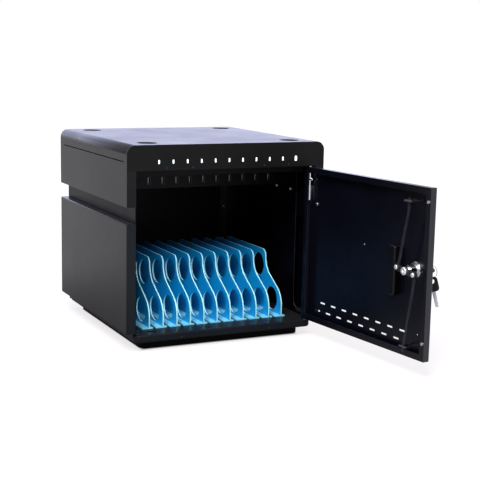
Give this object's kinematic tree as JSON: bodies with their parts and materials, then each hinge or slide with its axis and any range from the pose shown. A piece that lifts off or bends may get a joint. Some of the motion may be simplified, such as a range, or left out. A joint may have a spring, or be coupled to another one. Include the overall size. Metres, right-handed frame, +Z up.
{
  "type": "tablet charging cabinet",
  "caption": "Lockable table-top steel cabinet that stores and charges tablets on edge between upright dividers, with an inset front door, two lock rods, indicator windows and carrying grooves.",
  "frame": {"origin": "centre of the body on the floor that the feet stand on", "axes": "+X to the right seen from the front, +Y to the back, +Z up; the door is on the -Y side and stands open at rest"},
  "size_m": [0.4578, 0.748, 0.38],
  "materials": {
    "case_grey": "fine-textured powder coat",
    "fascia_black": "semi-gloss paint",
    "door_grey": "fine-textured powder coat",
    "divider_blue": "moulded, semi-gloss",
    "zinc": "bright zinc plate",
    "chrome": "polished",
    "black_plastic": "fine matte",
    "white_plastic": "gloss",
    "lamp_window": "lit diffuser",
    "rubber": "matte",
    "board_green": "solder mask",
    "brass": "plain",
    "wire_cover": "smooth",
    "aluminium": "satin"
  },
  "bodies": {
    "cabinet": {"hood": "case_grey", "fascia": "fascia_black", "indicator_windows": "lamp_window", "indicator_board": "board_green", "side_skin_left": "case_grey", "side_skin_right": "case_grey", "grip_channel_left": "case_grey", "grip_channel_right": "case_grey", "liner_left": "case_grey", "liner_right": "case_grey", "back_panel": "case_grey", "floor_tray": "case_grey", "plinth": "black_plastic", "rubber_feet": "rubber", "electronics_shelf": "case_grey", "door_stop": "case_grey", "usb_shells": "zinc", "usb_tongues": "white_plastic", "charger_board": "board_green", "power_supply": "aluminium", "mains_inlet": "black_plastic", "inlet_pins": "brass", "earth_stud": "brass", "wiring": "wire_cover", "cabinet_screws": "zinc", "front_screws": "zinc", "hinge_bush": "white_plastic", "divider_01": "divider_blue", "divider_02": "divider_blue", "divider_03": "divider_blue", "divider_04": "divider_blue", "divider_05": "divider_blue", "divider_06": "divider_blue", "divider_07": "divider_blue", "divider_08": "divider_blue", "divider_09": "divider_blue", "divider_10": "divider_blue", "divider_11": "divider_blue"},
    "door": {"door_panel": "door_grey", "finger_cup": "black_plastic", "lock_housing": "chrome", "lock_nut": "zinc", "rod_guides": "zinc", "bracket_screw": "zinc", "door_bumpers": "rubber", "hinge_barrel": "zinc", "hinge_spring": "zinc", "lower_hinge_pin": "zinc"},
    "hinge_bolt": {"hinge_bolt": "chrome"},
    "lock": {"lock_plug": "brass", "lock_cam": "zinc", "cam_fasteners": "chrome", "key_bow": "black_plastic", "key_blade": "zinc"},
    "upper_rod": {"upper_rod": "zinc"},
    "lower_rod": {"lower_rod": "zinc"},
    "key_ring": {"key_ring": "zinc"},
    "spare_key": {"spare_key_bow": "black_plastic", "spare_key_blade": "zinc"},
    "power_switch": {"switch_rocker": "black_plastic"}
  },
  "joints": [
    {"name": "door_swing", "type": "hinge", "parent": "cabinet", "child": "door", "pos_m": [0.1743, -0.1925, 0], "axis": [0, 0, 1], "range_deg": [-96, 7]},
    {"name": "hinge_bolt_slide", "type": "slide", "parent": "door", "child": "hinge_bolt", "axis": [0, 0, 1], "range_m": [-0.0088, 0], "stiffness_N_per_m": 300, "springref_m": 0.012, "deforming": ["hinge_spring"]},
    {"name": "lock_turn", "type": "hinge", "parent": "door", "child": "lock", "pos_m": [0.21315, -0.50475, 0.1868], "axis": [0.9945, 0.1045, 0], "range_deg": [0, 90]},
    {"name": "upper_rod_turn", "type": "hinge", "parent": "lock", "child": "upper_rod", "pos_m": [0.18601, -0.4857, 0.18986], "axis": [0.9945, 0.1045, 0], "range_deg": [-103, 0]},
    {"name": "lower_rod_turn", "type": "hinge", "parent": "lock", "child": "lower_rod", "pos_m": [0.19057, -0.52903, 0.18374], "axis": [0.9945, 0.1045, 0], "range_deg": [-102, 0]},
    {"name": "ring_swing", "type": "hinge", "parent": "lock", "child": "key_ring", "pos_m": [0.24567, -0.50133, 0.18847], "axis": [-0.9945, -0.1045, 0], "range_deg": [-12, 7]},
    {"name": "spare_key_swing", "type": "hinge", "parent": "key_ring", "child": "spare_key", "pos_m": [0.24567, -0.50133, 0.16325], "axis": [-0.6293, -0.7771, 0], "range_deg": [-30, 30]},
    {"name": "switch_rock", "type": "hinge", "parent": "cabinet", "child": "power_switch", "pos_m": [-0.096, 0.19695, 0.3357], "axis": [1, 0, 0], "range_deg": [-18, 0]}
  ],
  "couplings": [
    {"joint": "upper_rod_turn", "follows": "lock_turn", "ratio": -1.132},
    {"joint": "lower_rod_turn", "follows": "lock_turn", "ratio": -1.1157}
  ]
}
